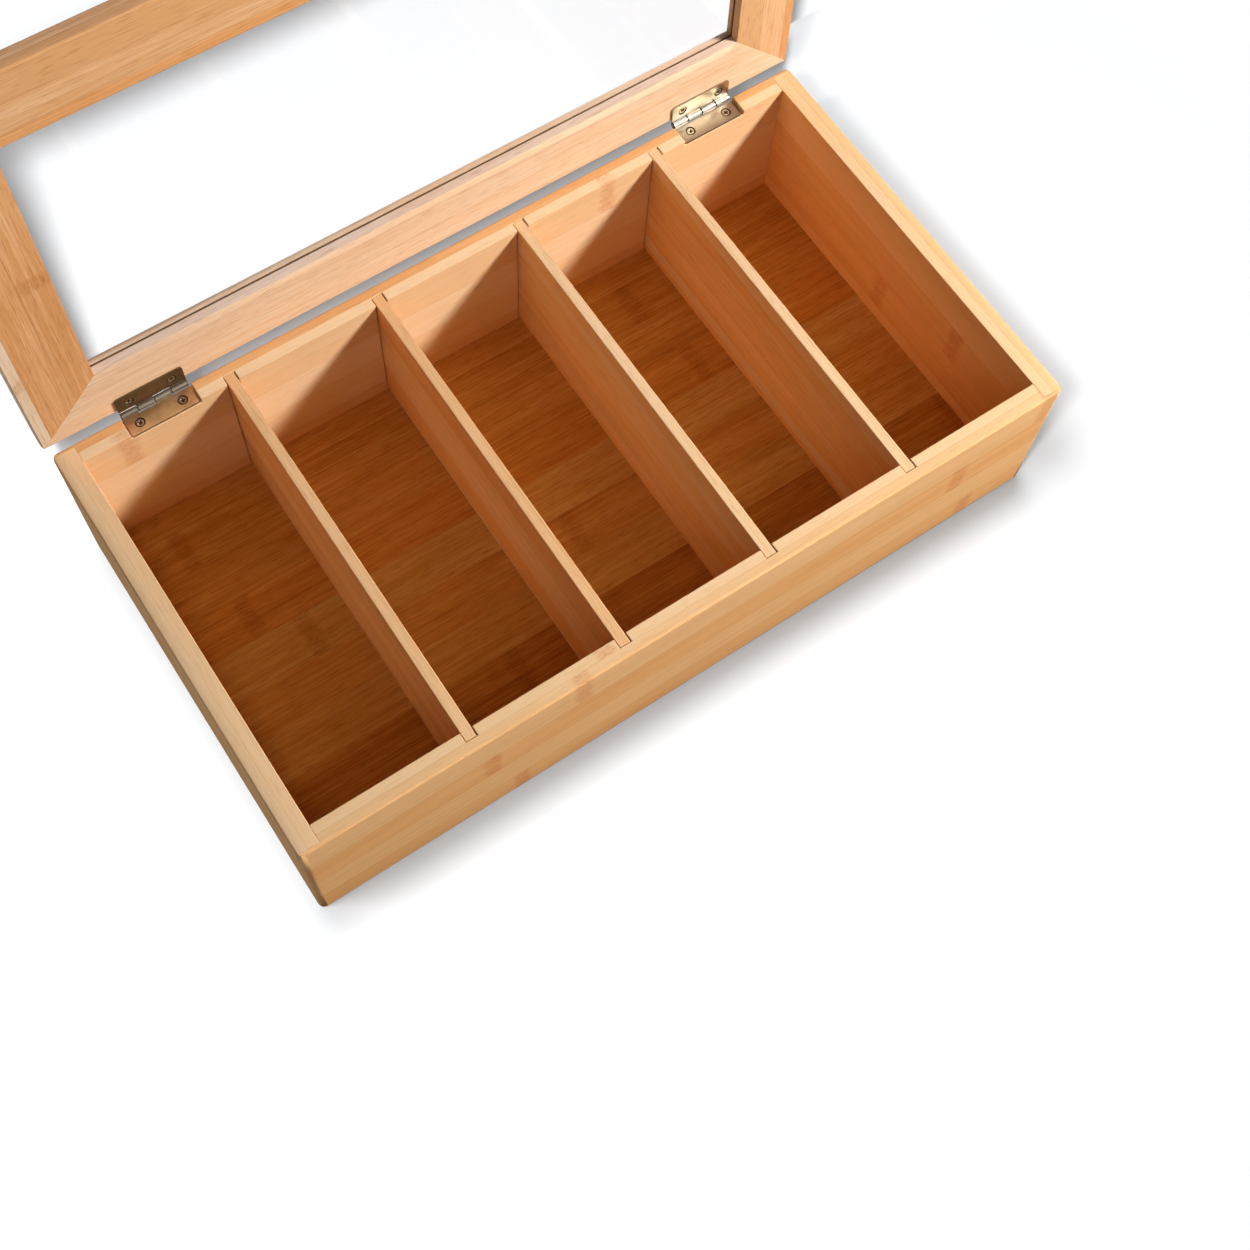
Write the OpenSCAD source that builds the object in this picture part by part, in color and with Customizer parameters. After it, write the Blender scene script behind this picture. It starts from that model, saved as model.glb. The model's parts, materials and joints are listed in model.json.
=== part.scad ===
// Tea bag organizer box: a bamboo box with five compartments and a framed, clear-paned lid.
// Units are millimetres. The origin is at the centre of the box's footprint, +Z is up,
// +X runs along the length and -Y is the front. The lid is drawn open, resting on its stop.

/* [Box] */
// Length of the box, end to end
box_length = 360; // [300:1:420]
// Width of the box, front face to rear face
box_width = 194; // [160:1:240]
// Height of the box without its lid
box_height = 78; // [60:1:100]
// Thickness of the front and rear walls
long_wall_t = 9; // [8:0.5:12]
// Thickness of the two end walls
end_wall_t = 9.5; // [8:0.5:12]
// Radius of the outer upright corners
corner_r = 3; // [1:0.5:4]
// Chamfer that eases the outer edges
edge_ease = 0.8; // [0.4:0.1:1.2]

/* [Corner joint] */
// Thickness of the lip that the long walls lay over each end wall's end
lip_t = 1.5; // [1:0.1:2.5]

/* [Floor] */
// Thickness of the floor panel
floor_t = 4.8; // [3.5:0.1:6]
// Height of the floor panel's underside above the table
floor_lift = 4.7; // [3:0.1:8]
// Depth of the groove that holds the floor panel
floor_groove_depth = 4; // [2.5:0.1:5]
// Room left at the groove's end for the panel to swell
floor_end_gap = 0.3; // [0.2:0.1:0.6]

/* [Dividers] */
// Thickness of one divider
divider_t = 4.8; // [3.5:0.1:6]
// Depth of the slot that holds a divider's end
divider_slot_depth = 4.3; // [2.5:0.1:5]
// Room on each side of a divider in its slot
divider_side_gap = 0.3; // [0.2:0.1:0.5]
// Room between a divider's end and the slot's bottom
divider_end_gap = 0.2; // [0.1:0.1:0.5]
// Drop of a divider's top edge below the rim
divider_drop = 0.5; // [0.3:0.1:2]

/* [Lid] */
// Thickness of the lid frame
lid_t = 8.5; // [7.5:0.5:12]
// Width of the lid's rails and stiles
lid_frame_w = 30; // [24:1:40]
// Length by which the lid stands out past each end of the box
lid_end_overhang = 1.5; // [0:0.5:3]
// Angle at which the opened lid rests on its stop, from closed
lid_open_angle = 92; // [85:1:110]
// Thickness of the clear pane
pane_t = 2; // [1.5:0.1:3]
// Distance from the lid's underside to the pane
pane_drop = 4; // [3:0.1:4.2]
// Depth of the groove that holds the pane
pane_groove_depth = 6; // [4:0.5:8]
// Room between the pane's edge and the groove's bottom
pane_end_gap = 0.5; // [0.3:0.1:1]

/* [Hinges] */
// Distance from the box's end to the middle of a hinge
hinge_inset = 46; // [40:1:70]
// Length of a hinge
hinge_l = 30; // [26:1:40]
// Thickness of a hinge leaf
leaf_t = 0.9; // [0.7:0.1:1.1]
// Radius of the hinge barrel
barrel_r = 1.5; // [1.4:0.1:2]
// Radius of the hinge pin
pin_r = 0.6; // [0.5:0.05:0.7]
// Radial running clearance of the pin in the knuckles
pin_clearance = 0.05; // [0.03:0.01:0.08]
// Gap between the barrel and the rear wall
barrel_gap = 0.2; // [0.1:0.1:0.6]
// Gap between neighbouring knuckles
knuckle_gap = 0.3; // [0.2:0.1:0.5]
// Gap round a leaf's ends in the mortise of the rear wall
mortise_end_gap = 0.6; // [0.3:0.1:1.2]
// Distance from a leaf's free edge to the wall's inner face
leaf_edge_gap = 0.3; // [0.2:0.1:1]
// Radius of the lid leaf's free corners
lid_leaf_corner_r = 1.5; // [0.8:0.1:2]
// Radius of the box leaf's free corners
box_leaf_corner_r = 0.6; // [0.4:0.1:1]

/* [Screws] */
// Spacing of the two screws in a leaf
screw_spacing = 19; // [16:0.5:22]
// Radius of a countersunk screw head
screw_head_r = 2.2; // [1.8:0.1:2.4]
// Radius of a screw's shank
screw_shank_r = 1.1; // [0.9:0.1:1.3]
// Length of a screw
screw_l = 7; // [5:0.5:7.5]
// Length of a screw's point
screw_point_l = 2; // [1.5:0.1:2.5]
// Length of one arm pair of the cross recess
recess_l = 2.4; // [1.8:0.1:2.6]
// Width of the cross recess
recess_w = 0.55; // [0.4:0.05:0.7]
// Depth of the cross recess
recess_depth = 0.8; // [0.6:0.1:1]
// Room round a screw in its hole
screw_gap = 0.03; // [0.02:0.01:0.06]

/* [Hidden] */
$fn = 48;
// Overshoot of a cut past the face that it leaves
over = 1;

// Colours
wall_wood = [0.87, 0.66, 0.42];
floor_wood = [0.60, 0.36, 0.17];
divider_wood = [0.88, 0.68, 0.45];
lid_wood = [0.88, 0.67, 0.43];
pane_clear = [0.86, 0.93, 0.92, 0.35];
hinge_metal = [0.66, 0.60, 0.42];
screw_metal = [0.72, 0.66, 0.50];

// Inner faces of the walls, the floor's top and the rim
inner_x = box_length / 2 - end_wall_t;
inner_y = box_width / 2 - long_wall_t;
floor_top = floor_lift + floor_t;
divider_top = box_height - divider_drop;

// The lid has the box's width and stands out at its ends
lid_length = box_length + 2 * lid_end_overhang;

// The dividers stand at equal spaces, each in a node of its own
divider_count = 4;
compartment_l = (2 * inner_x - divider_count * divider_t) / (divider_count + 1);
divider_pitch = compartment_l + divider_t;
function divider_x(i) = -inner_x + compartment_l + divider_t / 2 + i * divider_pitch;

// The hinge's axis lies behind the rear wall, one barrel radius below the rim
axis_y = box_width / 2 + barrel_gap + barrel_r;
axis_z = box_height - barrel_r;
mortise_depth = 2 * barrel_r;
leaf_w = axis_y - inner_y - leaf_edge_gap;
knuckle_count = 4;
knuckle_pitch = hinge_l / knuckle_count;
hinge_x = box_length / 2 - hinge_inset;
// The screws stand halfway between the barrel and the leaf's free edge
screw_y = -(leaf_w + barrel_r) / 2;
screw_head_h = screw_head_r - screw_shank_r;

// A block centred on X and Y that stands on Z = 0
module block(l, w, h) {
    translate([-l / 2, -w / 2, 0]) cube([l, w, h]);
}

// The waste outside one rounded upright corner at [l / 2, w / 2]
module corner_waste(l, w, h, r) {
    difference() {
        translate([l / 2 - r, w / 2 - r, -over]) cube([r + over, r + over, h + 2 * over]);
        translate([l / 2 - r, w / 2 - r, -2 * over]) cylinder(r = r, h = h + 4 * over);
    }
}

// The waste outside a 45 degree chamfer along X, on the top edge at Y = w / 2, Z = 0
module edge_waste(l, w) {
    translate([-l / 2 - over, w / 2, 0]) rotate([90, 0, 90]) linear_extrude(l + 2 * over)
        polygon([[-edge_ease, 0], [-edge_ease, over], [over, over], [over, -edge_ease], [0, -edge_ease]]);
}

// All that easing takes off a rectangular outline: four upright corners, eight long edges
module outline_waste(l, w, h) {
    for (sx = [0, 1], sy = [0, 1]) mirror([sx, 0, 0]) mirror([0, sy, 0]) corner_waste(l, w, h, corner_r);
    for (side = [0, 1], top = [0, 1]) translate([0, 0, top * h]) mirror([0, 0, 1 - top]) {
        mirror([0, side, 0]) edge_waste(l, w);
        mirror([side, 0, 0]) rotate([0, 0, -90]) edge_waste(w, l);
    }
}

// The floor panel's groove, as one flat block that reaches into all four walls
module floor_groove() {
    translate([0, 0, floor_lift])
        block(2 * (inner_x + floor_groove_depth), 2 * (inner_y + floor_groove_depth), floor_t);
}

// The slots of all dividers in one long wall, open at the rim
module divider_slots() {
    slot_w = divider_t + 2 * divider_side_gap;
    for (i = [0 : divider_count - 1])
        translate([divider_x(i) - slot_w / 2, inner_y - over, floor_top])
            cube([slot_w, divider_slot_depth + over, box_height - floor_top + over]);
}

// The front wall's shape, mirrored by its caller for the rear: a board on the +Y side with
// a rabbet at each end, so that a thin lip covers the end wall's end
module long_wall() {
    difference() {
        translate([-box_length / 2, inner_y, 0]) cube([box_length, long_wall_t, box_height]);
        for (side = [0, 1]) mirror([side, 0, 0])
            translate([inner_x, inner_y - over, -over])
                cube([end_wall_t + over, long_wall_t - lip_t + over, box_height + 2 * over]);
        floor_groove();
        divider_slots();
        outline_waste(box_length, box_width, box_height);
    }
}

module front_wall() {
    color(wall_wood) mirror([0, 1, 0]) long_wall();
}

module rear_wall() {
    color(wall_wood) difference() {
        long_wall();
        for (side = [0, 1]) mirror([side, 0, 0]) hinge_mortise();
        at_hinge(-1) leaf_screws(screw_gap);
        at_hinge(1) leaf_screws(screw_gap);
    }
}

// The notch across the rear wall's rim that takes both leaves of a closed hinge
module hinge_mortise() {
    l = hinge_l + 2 * mortise_end_gap;
    translate([hinge_x - l / 2, inner_y - over, box_height - mortise_depth])
        cube([l, long_wall_t + 2 * over, mortise_depth + over]);
}

// An end wall on the +X side, between the lips of the long walls
module end_wall() {
    difference() {
        translate([inner_x, -box_width / 2 + lip_t, 0]) cube([end_wall_t, box_width - 2 * lip_t, box_height]);
        translate([inner_x - over, -box_width / 2, floor_lift])
            cube([floor_groove_depth + over, box_width, floor_t]);
        outline_waste(box_length, box_width, box_height);
    }
}

module left_wall() {
    color(wall_wood) mirror([1, 0, 0]) end_wall();
}

module right_wall() {
    color(wall_wood) end_wall();
}

module base_panel() {
    reach = floor_groove_depth - floor_end_gap;
    color(floor_wood) translate([0, 0, floor_lift]) block(2 * (inner_x + reach), 2 * (inner_y + reach), floor_t);
}

module divider(i) {
    reach = inner_y + divider_slot_depth - divider_end_gap;
    color(divider_wood) translate([divider_x(i), 0, floor_top])
        block(divider_t, 2 * reach, divider_top - floor_top);
}

// Puts the closed lid's pieces where the opened lid rests
module opened() {
    translate([0, axis_y, axis_z]) rotate([-lid_open_angle, 0, 0]) translate([0, -axis_y, -axis_z]) children();
}

// One mitred member of the lid frame on the +Y side of an outline l long and w wide
module frame_member(l, w) {
    difference() {
        linear_extrude(lid_t) polygon([[-l / 2, w / 2], [l / 2, w / 2],
            [l / 2 - lid_frame_w, w / 2 - lid_frame_w], [-l / 2 + lid_frame_w, w / 2 - lid_frame_w]]);
        pane_groove(l, w);
    }
}

// The groove for the pane, round the inside of the lid frame
module pane_groove(l, w) {
    margin = 2 * (lid_frame_w - pane_groove_depth);
    translate([0, 0, pane_drop]) block(l - margin, w - margin, pane_t);
}

module lid_rail() {
    translate([0, 0, box_height]) difference() {
        frame_member(lid_length, box_width);
        outline_waste(lid_length, box_width, lid_t);
    }
}

module lid_stile() {
    translate([0, 0, box_height]) difference() {
        rotate([0, 0, -90]) frame_member(box_width, lid_length);
        outline_waste(lid_length, box_width, lid_t);
    }
}

module lid_front_rail() {
    color(lid_wood) opened() mirror([0, 1, 0]) lid_rail();
}

module lid_rear_rail() {
    color(lid_wood) opened() difference() {
        lid_rail();
        at_hinge(-1) mirror([0, 0, 1]) leaf_screws(screw_gap);
        at_hinge(1) mirror([0, 0, 1]) leaf_screws(screw_gap);
    }
}

module lid_left_stile() {
    color(lid_wood) opened() mirror([1, 0, 0]) lid_stile();
}

module lid_right_stile() {
    color(lid_wood) opened() lid_stile();
}

module lid_pane() {
    margin = 2 * (lid_frame_w - pane_groove_depth + pane_end_gap);
    color(pane_clear) opened() translate([0, 0, box_height + pane_drop])
        block(lid_length - margin, box_width - margin, pane_t);
}

// Puts a hinge, drawn with its axis along X through the origin, at its place; side is -1 or 1
module at_hinge(side) {
    translate([side * hinge_x, axis_y, axis_z]) children();
}

// A rod along X from x0 to x1
module rod(x0, x1, r) {
    translate([x0, 0, 0]) rotate([0, 90, 0]) cylinder(r = r, h = x1 - x0);
}

// Left end of knuckle k, counted from 0 at the hinge's left end
function knuckle_x(k) = -hinge_l / 2 + k * knuckle_pitch;

// A leaf that lies level with the barrel's underside, with every second knuckle
module hinge_leaf(first_knuckle, free_corner_r) {
    difference() {
        union() {
            translate([-hinge_l / 2, -leaf_w, -barrel_r]) cube([hinge_l, leaf_w, leaf_t]);
            for (k = [first_knuckle : 2 : knuckle_count - 1])
                rod(knuckle_x(k) + knuckle_gap / 2, knuckle_x(k + 1) - knuckle_gap / 2, barrel_r);
        }
        for (k = [1 - first_knuckle : 2 : knuckle_count - 1])
            translate([knuckle_x(k) - knuckle_gap / 2, -barrel_r - knuckle_gap, -barrel_r - over])
                cube([knuckle_pitch + knuckle_gap, barrel_r + knuckle_gap + over, leaf_t + 2 * over]);
        rod(-hinge_l / 2 - over, hinge_l / 2 + over, pin_r + pin_clearance);
        for (side = [0, 1]) mirror([side, 0, 0]) mirror([0, 1, 0]) translate([0, 0, -barrel_r])
            corner_waste(hinge_l, 2 * leaf_w, leaf_t, free_corner_r);
        leaf_screws(screw_gap);
    }
}

module hinge_pin() {
    rod(-hinge_l / 2, hinge_l / 2, pin_r);
}

// A countersunk screw that points down from the origin, grown by gap for its hole
module screw_body(gap) {
    rotate_extrude() polygon([[0, 0], [screw_head_r + gap, 0], [screw_shank_r + gap, -screw_head_h],
        [screw_shank_r + gap, -screw_l + screw_point_l], [0, -screw_l - gap]]);
}

// The two screws of a leaf, or their holes if gap is more than 0
module leaf_screws(gap) {
    for (side = [-1, 1])
        translate([side * screw_spacing / 2, screw_y, leaf_t - barrel_r]) screw_body(gap);
}

// The same two screws with their cross recesses
module cross_head_screws() {
    difference() {
        leaf_screws(0);
        for (side = [-1, 1], turn = [0, 90])
            translate([side * screw_spacing / 2, screw_y, leaf_t - barrel_r - recess_depth])
                rotate([0, 0, turn + 45]) block(recess_l, recess_w, recess_depth + over);
    }
}

module hinge_box_leaf(side) {
    color(hinge_metal) at_hinge(side) hinge_leaf(0, box_leaf_corner_r);
}

module hinge_lid_leaf(side) {
    color(hinge_metal) opened() at_hinge(side) mirror([0, 0, 1]) hinge_leaf(1, lid_leaf_corner_r);
}

module left_hinge_box_leaf() {
    hinge_box_leaf(-1);
}

module left_hinge_lid_leaf() {
    hinge_lid_leaf(-1);
}

module left_hinge_pin() {
    color(hinge_metal) at_hinge(-1) hinge_pin();
}

module right_hinge_box_leaf() {
    hinge_box_leaf(1);
}

module right_hinge_lid_leaf() {
    hinge_lid_leaf(1);
}

module right_hinge_pin() {
    color(hinge_metal) at_hinge(1) hinge_pin();
}

module box_hinge_screws() {
    color(screw_metal) for (side = [-1, 1]) at_hinge(side) cross_head_screws();
}

module lid_hinge_screws() {
    color(screw_metal) opened() for (side = [-1, 1]) at_hinge(side) mirror([0, 0, 1]) cross_head_screws();
}

front_wall();
rear_wall();
left_wall();
right_wall();
base_panel();
divider(0);  // divider_1
divider(1);  // divider_2
divider(2);  // divider_3
divider(3);  // divider_4
lid_front_rail();
lid_rear_rail();
lid_left_stile();
lid_right_stile();
lid_pane();
left_hinge_box_leaf();
left_hinge_lid_leaf();
left_hinge_pin();
right_hinge_box_leaf();
right_hinge_lid_leaf();
right_hinge_pin();
box_hinge_screws();
lid_hinge_screws();
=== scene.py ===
"""Looks of the bamboo tea bag organizer box: its boards, pane, hinges and screws, the studio and the camera.

All lengths are in metres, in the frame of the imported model: +X along the box, -Y its front, +Z up.
"""

import itertools
import json
import math
import random
from collections import namedtuple

import bmesh
import bpy
from mathutils import Matrix, Vector
from mathutils.bvhtree import BVHTree

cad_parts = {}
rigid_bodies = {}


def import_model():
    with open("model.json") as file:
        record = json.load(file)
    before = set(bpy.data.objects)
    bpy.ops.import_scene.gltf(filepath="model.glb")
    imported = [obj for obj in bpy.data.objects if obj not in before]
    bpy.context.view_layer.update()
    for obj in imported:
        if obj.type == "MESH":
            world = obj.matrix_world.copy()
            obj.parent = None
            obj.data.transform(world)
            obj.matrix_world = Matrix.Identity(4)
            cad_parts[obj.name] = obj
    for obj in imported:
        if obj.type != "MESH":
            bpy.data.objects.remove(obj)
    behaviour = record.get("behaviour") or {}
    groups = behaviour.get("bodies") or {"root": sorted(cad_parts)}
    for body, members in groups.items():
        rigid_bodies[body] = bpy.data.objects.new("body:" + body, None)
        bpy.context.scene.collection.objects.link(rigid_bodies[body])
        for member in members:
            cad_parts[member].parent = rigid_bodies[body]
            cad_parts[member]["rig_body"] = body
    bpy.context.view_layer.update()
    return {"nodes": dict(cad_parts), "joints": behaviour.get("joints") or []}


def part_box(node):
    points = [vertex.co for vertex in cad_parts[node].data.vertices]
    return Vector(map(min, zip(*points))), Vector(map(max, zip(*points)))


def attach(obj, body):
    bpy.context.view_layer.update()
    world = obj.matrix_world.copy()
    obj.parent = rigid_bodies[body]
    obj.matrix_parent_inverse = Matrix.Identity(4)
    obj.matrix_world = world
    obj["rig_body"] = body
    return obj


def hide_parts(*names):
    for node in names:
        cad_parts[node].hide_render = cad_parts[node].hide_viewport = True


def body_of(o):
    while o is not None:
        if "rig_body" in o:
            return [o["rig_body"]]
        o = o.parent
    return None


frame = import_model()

MM = 0.001
NODES = frame["nodes"]

# ---------------------------------------------------------------- camera

CAMERA_PLACE = Vector((-0.2015, -0.2873, 0.7236))
# The view's heading from +Y towards +X, its dip below the horizon and its roll, in degrees
CAMERA_HEADING = 39.84
CAMERA_DIP = 66.15
CAMERA_ROLL = 6.39
LENS_MM = 52.39
SENSOR_MM = 36
# The optical axis passes above the middle of the frame by this share of its width
AXIS_RISE = 0.04


def make_camera():
    """The camera at the photograph's viewing angle."""
    data = bpy.data.cameras.new("camera")
    data.lens = LENS_MM
    data.sensor_width = SENSOR_MM
    data.shift_y = -AXIS_RISE
    data.clip_start = 0.01
    data.clip_end = 50
    camera = bpy.data.objects.new("camera", data)
    heading = Matrix.Rotation(math.radians(-CAMERA_HEADING), 4, "Z")
    dip = Matrix.Rotation(math.radians(90 - CAMERA_DIP), 4, "X")
    roll = Matrix.Rotation(math.radians(CAMERA_ROLL), 4, "Z")
    camera.matrix_world = Matrix.Translation(CAMERA_PLACE) @ heading @ dip @ roll
    bpy.context.scene.collection.objects.link(camera)
    bpy.context.scene.camera = camera


# ---------------------------------------------------------------- node helpers


def feed(tree, socket, value):
    """Joins an input to another node's output, or sets the input's own value."""
    if isinstance(value, bpy.types.NodeSocket):
        tree.links.new(value, socket)
    else:
        socket.default_value = value


def node(tree, kind, *values, out=0, **settings):
    """Adds a shader node, feeds its inputs in their order and returns one of its outputs."""
    made = tree.nodes.new("ShaderNode" + kind)
    for key, value in settings.items():
        setattr(made, key, value)
    for socket, value in zip(made.inputs, values):
        feed(tree, socket, value)
    return made.outputs[out]


def maths(tree, operation, *values):
    """One step of arithmetic on numbers or sockets."""
    return node(tree, "Math", *values, operation=operation)


def stretched(tree, parts, scales):
    """A vector of three numbers, each times its own scale per metre."""
    scaled = [maths(tree, "MULTIPLY", part, scale) for part, scale in zip(parts, scales)]
    return node(tree, "CombineXYZ", *scaled)


def noise(tree, vector, detail=2.0, roughness=0.5):
    """Cloudy noise with a mean of 0.5."""
    made = tree.nodes.new("ShaderNodeTexNoise")
    feed(tree, made.inputs["Vector"], vector)
    made.inputs["Scale"].default_value = 1.0
    made.inputs["Detail"].default_value = detail
    made.inputs["Roughness"].default_value = roughness
    return made.outputs[0]


def ramp_up(tree, value, start, end):
    """0 below start, 1 above end and smooth between them; start may be the higher one."""
    made = tree.nodes.new("ShaderNodeMapRange")
    made.interpolation_type = "SMOOTHSTEP"
    for name, number in (("Value", value), ("From Min", start), ("From Max", end)):
        feed(tree, made.inputs[name], number)
    return made.outputs[0]


def around_zero(tree, value, strength):
    """A noise value moved to a mean of 0 and scaled."""
    return maths(tree, "MULTIPLY", maths(tree, "SUBTRACT", value, 0.5), strength)


def total(tree, *values):
    """The sum of numbers or sockets."""
    result = values[0]
    for value in values[1:]:
        result = maths(tree, "ADD", result, value)
    return result


def mix(tree, factor, a, b, blend="MIX"):
    """A mix of two colours."""
    made = tree.nodes.new("ShaderNodeMix")
    made.data_type = "RGBA"
    made.blend_type = blend
    feed(tree, made.inputs[0], factor)
    feed(tree, made.inputs[6], a)
    feed(tree, made.inputs[7], b)
    return made.outputs[2]


def tinted(tree, cover, colour, tint):
    """A colour times a tint, as far as the cover says."""
    return mix(tree, cover, colour, mix(tree, 1.0, colour, tint, "MULTIPLY"))


def place_on_piece(tree):
    """The place in the piece's own coordinates, as three numbers."""
    return node(tree, "SeparateXYZ", node(tree, "TexCoord", out=3)).node.outputs


def new_group(name, inputs, outputs):
    """An empty node group with named sockets; returns the tree, its inputs and its outputs."""
    tree = bpy.data.node_groups.new(name, "ShaderNodeTree")
    for label, kind, value in inputs:
        socket = tree.interface.new_socket(label, in_out="INPUT", socket_type="NodeSocket" + kind)
        if value is not None:
            socket.default_value = value
    for label, kind in outputs:
        tree.interface.new_socket(label, in_out="OUTPUT", socket_type="NodeSocket" + kind)
    return tree, tree.nodes.new("NodeGroupInput").outputs, tree.nodes.new("NodeGroupOutput").inputs


def place_group(tree, group, **values):
    """Puts a node group in a material; a value's name is its socket's name in lower case."""
    made = tree.nodes.new("ShaderNodeGroup")
    made.node_tree = group
    for name, value in values.items():
        feed(tree, made.inputs[name.replace("_", " ").capitalize()], value)
    return made.outputs


def srgb(r, g, b):
    """A colour given in the usual 0 to 255 numbers, as the linear one that shaders use."""
    parts = [c / 255 for c in (r, g, b)]
    return tuple(c / 12.92 if c <= 0.04045 else ((c + 0.055) / 1.055) ** 2.4 for c in parts) + (1.0,)


def new_material(name, **values):
    """A material with one Principled shader; a value's name is its socket's name."""
    material = bpy.data.materials.new(name)
    material.use_nodes = True
    tree = material.node_tree
    shader = tree.nodes["Principled BSDF"]
    for label, value in values.items():
        shader.inputs[label.replace("_", " ")].default_value = value
    return material, tree, shader


def add_bump(tree, shader, height, strength, distance):
    """Joins a height to a shader's normal."""
    bump = tree.nodes.new("ShaderNodeBump")
    bump.inputs["Strength"].default_value = strength
    bump.inputs["Distance"].default_value = distance
    feed(tree, bump.inputs["Height"], height)
    feed(tree, shader.inputs["Normal"], bump.outputs[0])


# ---------------------------------------------------------------- bamboo

# A material with the width of its strips, the thickness of its plies and the slot of its pieces
Finish = namedtuple("Finish", "material strip ply slot")

# Knots along one strip stand this far apart
KNOT_PITCH = 0.23
# Half the length of a knot's band and of the soft edge round it, and how far the band wavers
KNOT_HALF = 3.6 * MM
KNOT_SOFT = 1.8 * MM
KNOT_WAVER = 6 * MM
# Fibres swerve more within the first distance of a knot; the second scales by how much
SWERVE_REACH = 16 * MM
SWERVE = 3 * MM
# A knot place past this number means a strip without knots
NO_KNOT = 1.0
# Tints of glue lines and flecks, and of the coolest and the warmest strips
GLUE_LINE = (0.55, 0.42, 0.34, 1)
FLECK = (0.66, 0.54, 0.44, 1)
COOL = (0.98, 1.14, 1.34, 1)
WARM = (1.0, 0.91, 0.78, 1)
# A glue line is dark to the first distance from its middle and gone at the second
LINE_CORE = 0.05 * MM
LINE_END = 0.2 * MM
# Between these distances from the edge of the first strip the lines between strips fade in
RIM_CLEAR = 1.0 * MM
RIM_PAST = 2.0 * MM
# How much of its tint a glue line shows between strips and between plies
STRIP_LINE_COVER = 0.4
PLY_LINE_COVER = 0.18
# Scales of the grain's noises per metre: along the board, across its strips and through its plies
KNOT_WAVER_SCALE = (60, 420, 420)
WANDER_SCALE = (14, 90, 90)
CLOUD_SCALE = (11, 70, 70)
BROAD_SCALE = (8, 330, 330)
FINE_SCALE = (30, 1300, 1300)
DASH_SCALE = (110, 2100, 2100)
PORE_SCALE = (380, 1300, 1300)
# The lacquer's roughness where it is dullest and where it is glossiest
LACQUER_DULL = 0.52
LACQUER_GLOSSY = 0.36
GRAIN_RELIEF = 0.12 * MM


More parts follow.
